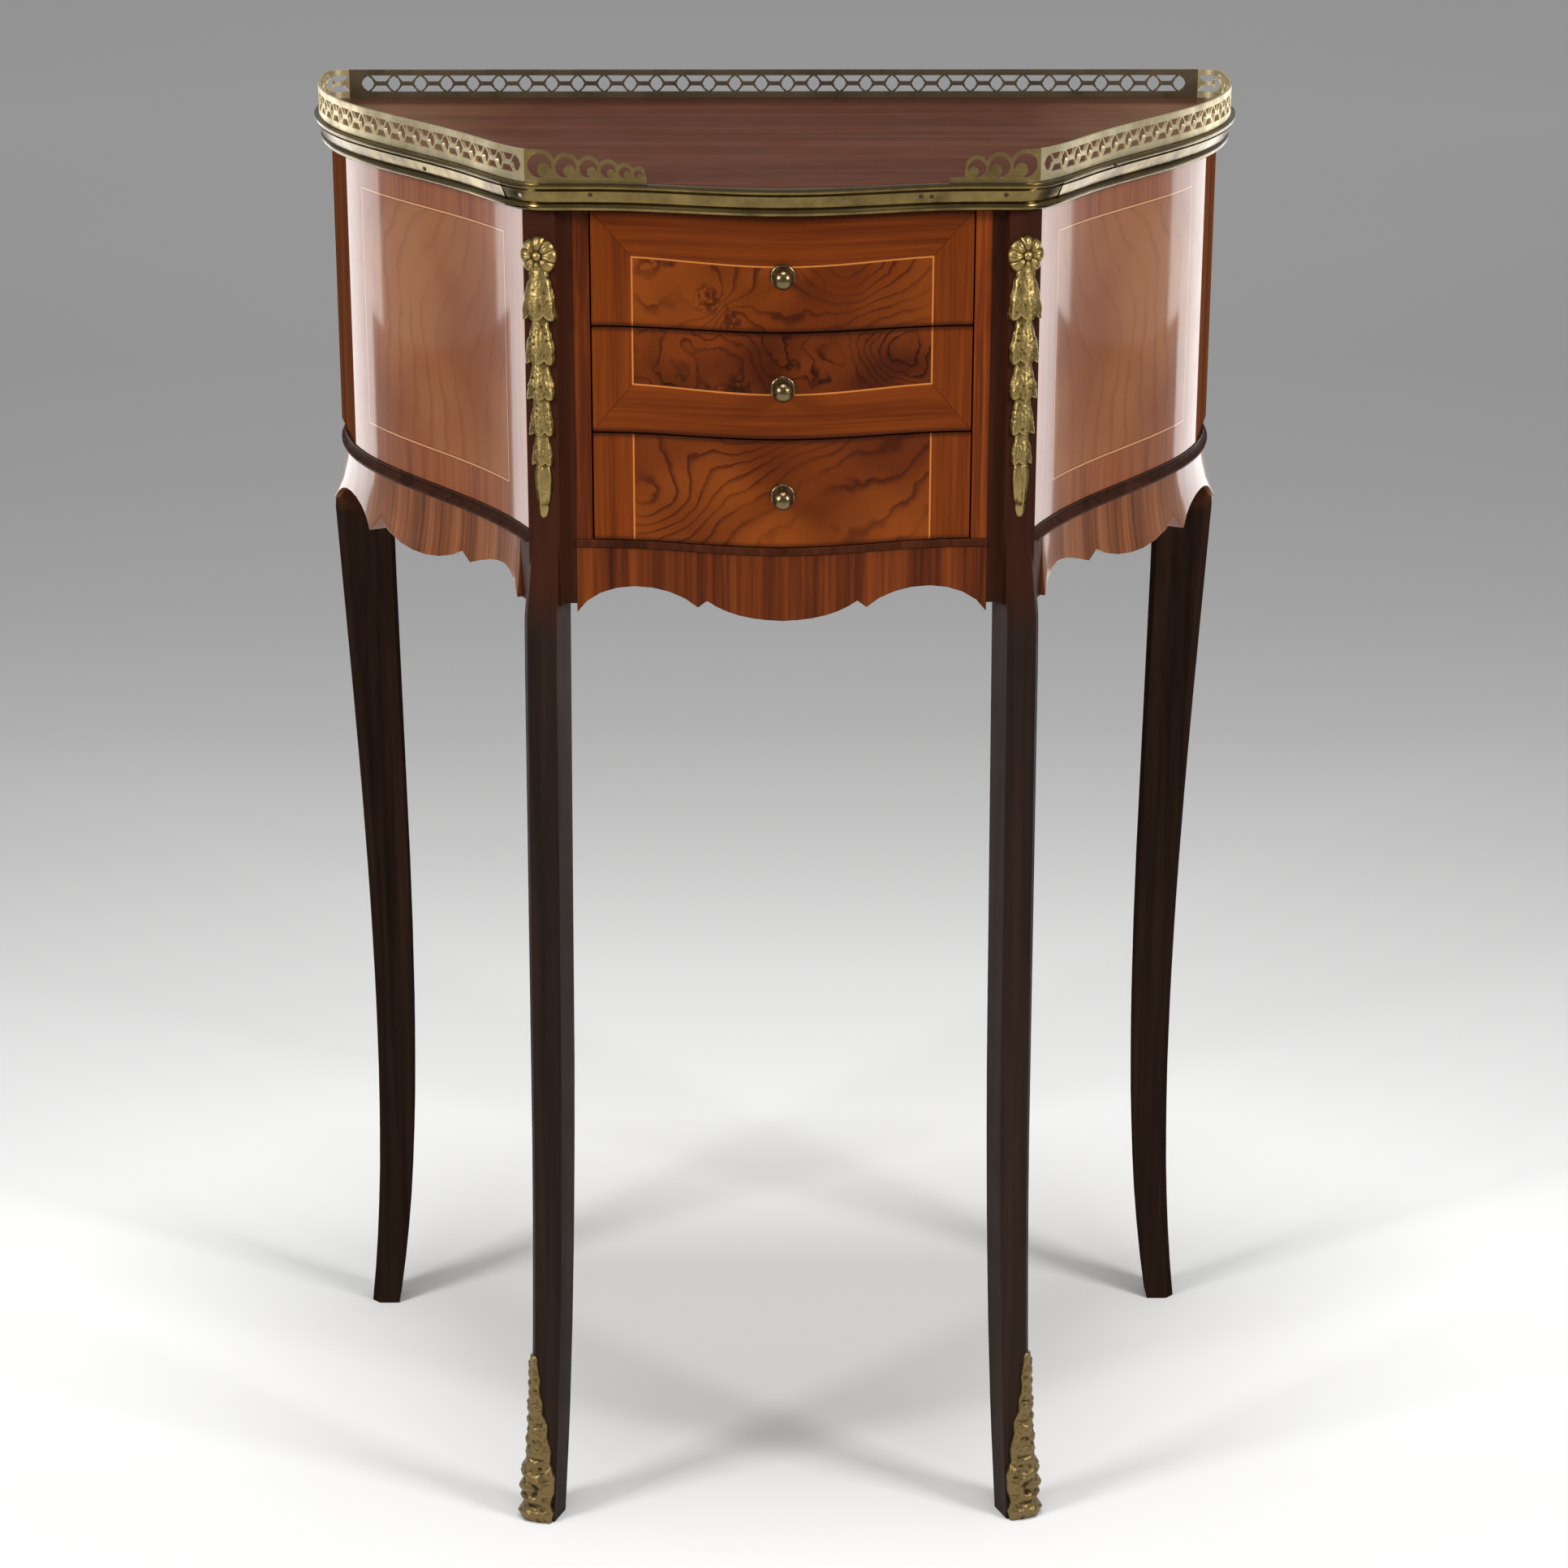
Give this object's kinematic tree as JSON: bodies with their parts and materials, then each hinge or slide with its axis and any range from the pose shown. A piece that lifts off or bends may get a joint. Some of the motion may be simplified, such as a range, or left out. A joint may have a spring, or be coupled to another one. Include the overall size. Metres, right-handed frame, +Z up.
{
  "type": "commode chest",
  "caption": "Small serpentine side commode: drawers between swept burl sides, on tall cabriole legs, with a brass-edged top inside a pierced gallery.",
  "frame": {"origin": "centre of the bounding box on the floor, midway across the width and the depth", "axes": "+Z up, the drawer fronts face -Y, +X to the viewer's right"},
  "size_m": [0.533, 0.3286, 0.79],
  "materials": {
    "top_veneer": "satin polished mahogany veneer",
    "burl_veneer": "gloss figured burl veneer",
    "cross_veneer": "gloss crossbanded rosewood veneer",
    "dark_wood": "satin dark stained wood",
    "carcass_wood": "plain pine carcass wood",
    "gilt_brass": "aged gilt brass"
  },
  "bodies": {
    "case": {"top_board": "top_veneer", "edge_moulding_front": "gilt_brass", "edge_moulding_left": "gilt_brass", "edge_moulding_right": "gilt_brass", "gallery_back": "gilt_brass", "gallery_left": "gilt_brass", "gallery_right": "gilt_brass", "gallery_scroll_left": "gilt_brass", "gallery_scroll_right": "gilt_brass", "side_panel_left": "burl_veneer", "side_panel_right": "burl_veneer", "side_cove_left": "dark_wood", "side_cove_right": "dark_wood", "side_apron_left": "cross_veneer", "side_apron_right": "cross_veneer", "front_apron": "cross_veneer", "front_ledge": "dark_wood", "front_leg_left": "dark_wood", "front_leg_right": "dark_wood", "back_leg_left": "dark_wood", "back_leg_right": "dark_wood", "stile_left": "cross_veneer", "stile_right": "cross_veneer", "cheek_left": "carcass_wood", "cheek_right": "carcass_wood", "back_panel": "carcass_wood", "bottom_board": "carcass_wood", "dust_board_upper": "carcass_wood", "dust_board_lower": "carcass_wood", "chute_left": "gilt_brass", "chute_right": "gilt_brass", "sabot_left": "gilt_brass", "sabot_right": "gilt_brass"},
    "drawer_top": {"drawer_top_front": "burl_veneer", "drawer_top_side_left": "carcass_wood", "drawer_top_side_right": "carcass_wood", "drawer_top_back": "carcass_wood", "drawer_top_bottom": "carcass_wood", "drawer_top_knob": "gilt_brass", "drawer_top_knob_plate": "gilt_brass"},
    "drawer_middle": {"drawer_middle_front": "burl_veneer", "drawer_middle_side_left": "carcass_wood", "drawer_middle_side_right": "carcass_wood", "drawer_middle_back": "carcass_wood", "drawer_middle_bottom": "carcass_wood", "drawer_middle_knob": "gilt_brass", "drawer_middle_knob_plate": "gilt_brass"},
    "drawer_bottom": {"drawer_bottom_front": "burl_veneer", "drawer_bottom_side_left": "carcass_wood", "drawer_bottom_side_right": "carcass_wood", "drawer_bottom_back": "carcass_wood", "drawer_bottom_bottom": "carcass_wood", "drawer_bottom_knob": "gilt_brass", "drawer_bottom_knob_plate": "gilt_brass"}
  },
  "joints": [
    {"name": "drawer_top_slide", "type": "slide", "parent": "case", "child": "drawer_top", "axis": [0, -1, 0], "range_m": [0, 0.17]},
    {"name": "drawer_middle_slide", "type": "slide", "parent": "case", "child": "drawer_middle", "axis": [0, -1, 0], "range_m": [0, 0.17]},
    {"name": "drawer_bottom_slide", "type": "slide", "parent": "case", "child": "drawer_bottom", "axis": [0, -1, 0], "range_m": [0, 0.17]}
  ]
}
